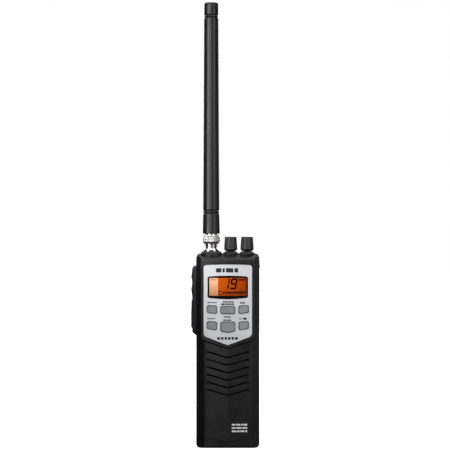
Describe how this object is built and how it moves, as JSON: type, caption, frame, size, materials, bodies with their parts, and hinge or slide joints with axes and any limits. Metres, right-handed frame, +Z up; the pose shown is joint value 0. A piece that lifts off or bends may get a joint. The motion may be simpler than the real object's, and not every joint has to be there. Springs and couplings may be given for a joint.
{
  "type": "handheld cb radio",
  "caption": "Handheld two-way radio: amber display and keypad on a silver shield plate, side talk bar, chevron grille, top knobs, bayonet whip antenna, belt clip and battery cover.",
  "frame": {"origin": "centre of the case's width on its flat underside, 2.2 mm in front of the plane where the two case halves meet", "axes": "+Z up along the antenna, -Y out of the front with the display, +X to the right seen from the front"},
  "size_m": [0.0598, 0.0485, 0.3823],
  "materials": {
    "case_plastic": "fine satin moulded black plastic",
    "rear_plastic": "fine textured black plastic",
    "cover_plastic": "fine textured black plastic",
    "latch_plastic": "black plastic",
    "silver_plate": "satin silver paint",
    "clear_lens": "clear gloss window",
    "lcd_orange": "amber back-lit liquid crystal glass",
    "light_guide": "milky light guide",
    "frame_black": "black plastic",
    "mat_rubber": "grey silicone",
    "key_grey": "satin grey plastic",
    "board_green": "green solder mask",
    "chip_black": "black epoxy",
    "tin_plate": "tin plate",
    "speaker_steel": "zinc plated steel",
    "cone_paper": "black pulp paper",
    "magnet_grey": "ferrite and steel",
    "cloth_black": "black woven cloth",
    "mic_metal": "aluminium can",
    "jack_black": "black plastic",
    "side_plastic": "satin black plastic",
    "switch_metal": "tin plated steel",
    "button_rubber": "black rubber",
    "ptt_plastic": "satin black plastic",
    "spring_steel": "bright spring steel",
    "flap_rubber": "soft black rubber",
    "control_body": "zinc plated can and bushing",
    "knob_plastic": "satin black plastic",
    "shaft_steel": "turned steel",
    "nickel": "bright nickel plate",
    "insulator_white": "white insulating plastic",
    "antenna_rubber": "smooth satin black rubber",
    "core_glass": "glass-fibre rod with enamelled wire",
    "wire_jacket": "wire insulation",
    "cell_jacket": "plain printed cell jacket",
    "clip_steel": "black coated spring steel",
    "bracket_plastic": "black plastic",
    "screw_steel": "black zinc steel"
  },
  "bodies": {
    "case": {"front_case": "case_plastic", "rear_case": "rear_plastic", "latch_spring": "spring_steel", "face_plate": "silver_plate", "display_lens": "clear_lens", "lcd_glass": "lcd_orange", "lcd_backlight": "light_guide", "lcd_frame": "frame_black", "keypad_mat": "mat_rubber", "control_board": "board_green", "main_board": "board_green", "board_parts": "chip_black", "rf_shield": "tin_plate", "speaker_frame": "speaker_steel", "speaker_cone": "cone_paper", "speaker_magnet": "magnet_grey", "grille_cloth": "cloth_black", "microphone": "mic_metal", "audio_jacks": "jack_black", "power_jacks": "jack_black", "side_frame": "side_plastic", "side_board": "board_green", "side_switches": "switch_metal", "ptt_spring": "spring_steel", "rotary_controls": "control_body", "bnc_jack": "nickel", "bnc_nut": "nickel", "bnc_insulator": "insulator_white", "wiring": "wire_jacket", "battery_cells": "cell_jacket", "battery_springs": "spring_steel", "battery_plates": "tin_plate", "clip_bracket": "bracket_plastic", "clip_pin": "shaft_steel", "clip_spring": "spring_steel", "case_screws": "screw_steel", "clip_screws": "screw_steel"},
    "squelch": {"squelch_knob": "knob_plastic", "squelch_shaft": "shaft_steel"},
    "volume": {"volume_knob": "knob_plastic", "volume_shaft": "shaft_steel"},
    "antenna": {"plug_shell": "nickel", "antenna_sleeve": "antenna_rubber", "antenna_cap": "antenna_rubber", "antenna_core": "core_glass"},
    "coupling_ring": {"coupling_nut": "nickel"},
    "cover": {"battery_cover": "cover_plastic"},
    "latch": {"battery_latch": "latch_plastic"},
    "flap": {"jack_cover": "flap_rubber"},
    "clip": {"belt_clip": "clip_steel"},
    "channel_up": {"channel_up_button": "button_rubber"},
    "channel_down": {"channel_down_button": "button_rubber"},
    "talk_bar": {"ptt_lever": "ptt_plastic"},
    "key_program_cap": {"key_program": "key_grey"},
    "key_band_cap": {"key_band": "key_grey"},
    "key_noise_cap": {"key_noise": "key_grey"},
    "key_scan_cap": {"key_scan": "key_grey"},
    "key_dual_cap": {"key_dual": "key_grey"},
    "key_lock_cap": {"key_lock": "key_grey"}
  },
  "joints": [
    {"name": "antenna_lift", "type": "slide", "parent": "case", "child": "antenna", "axis": [0, 0, 1], "range_m": [0, 0.014]},
    {"name": "coupling_turn", "type": "hinge", "parent": "antenna", "child": "coupling_ring", "pos_m": [-0.01425, -0.0075, 0.1783], "axis": [0, 0, 1], "range_deg": [0, 275]},
    {"name": "squelch_turn", "type": "hinge", "parent": "case", "child": "squelch", "pos_m": [0.0025, -0.0075, 0.1713], "axis": [0, 0, 1], "range_deg": [-135, 135]},
    {"name": "volume_turn", "type": "hinge", "parent": "case", "child": "volume", "pos_m": [0.0166, -0.0075, 0.1713], "axis": [0, 0, 1], "range_deg": [-150, 150]},
    {"name": "talk_press", "type": "hinge", "parent": "case", "child": "talk_bar", "pos_m": [-0.0285, -0.0052, 0.1246], "axis": [0, -1, 0], "range_deg": [0, 3.2], "stiffness_Nm_per_rad": 0.8, "springref_deg": -1.15, "deforming": ["ptt_spring"]},
    {"name": "channel_up_press", "type": "slide", "parent": "case", "child": "channel_up", "axis": [1, 0, 0], "range_m": [0, 0.0008], "stiffness_N_per_m": 1500, "springref_m": -0.0003},
    {"name": "channel_down_press", "type": "slide", "parent": "case", "child": "channel_down", "axis": [1, 0, 0], "range_m": [0, 0.0008], "stiffness_N_per_m": 1500, "springref_m": -0.0003},
    {"name": "flap_hinge", "type": "hinge", "parent": "case", "child": "flap", "pos_m": [0.02655, -0.007, 0.09705], "axis": [0, 1, 0], "range_deg": [0, 100]},
    {"name": "cover_slide", "type": "slide", "parent": "case", "child": "cover", "axis": [0, 0, -1], "range_m": [0, 0.155]},
    {"name": "latch_press", "type": "slide", "parent": "case", "child": "latch", "axis": [-1, 0, 0], "range_m": [0, 0.0008], "stiffness_N_per_m": 1500, "springref_m": -0.0003, "deforming": ["latch_spring"]},
    {"name": "clip_open", "type": "hinge", "parent": "case", "child": "clip", "pos_m": [0, 0.0247, 0.1601], "axis": [1, 0, 0], "range_deg": [0, 14], "stiffness_Nm_per_rad": 1, "springref_deg": -11.46},
    {"name": "key_program_press", "type": "slide", "parent": "case", "child": "key_program_cap", "axis": [0, 1, 0], "range_m": [0, 0.0008], "stiffness_N_per_m": 1200, "springref_m": -0.0003},
    {"name": "key_band_press", "type": "slide", "parent": "case", "child": "key_band_cap", "axis": [0, 1, 0], "range_m": [0, 0.0008], "stiffness_N_per_m": 1200, "springref_m": -0.0003},
    {"name": "key_noise_press", "type": "slide", "parent": "case", "child": "key_noise_cap", "axis": [0, 1, 0], "range_m": [0, 0.0008], "stiffness_N_per_m": 1200, "springref_m": -0.0003},
    {"name": "key_scan_press", "type": "slide", "parent": "case", "child": "key_scan_cap", "axis": [0, 1, 0], "range_m": [0, 0.0008], "stiffness_N_per_m": 1200, "springref_m": -0.0003},
    {"name": "key_dual_press", "type": "slide", "parent": "case", "child": "key_dual_cap", "axis": [0, 1, 0], "range_m": [0, 0.0008], "stiffness_N_per_m": 1200, "springref_m": -0.0003},
    {"name": "key_lock_press", "type": "slide", "parent": "case", "child": "key_lock_cap", "axis": [0, 1, 0], "range_m": [0, 0.0008], "stiffness_N_per_m": 1200, "springref_m": -0.0003}
  ],
  "couplings": [
    {"joint": "coupling_turn", "follows": "antenna_lift", "rad_per_m": 341.48}
  ]
}
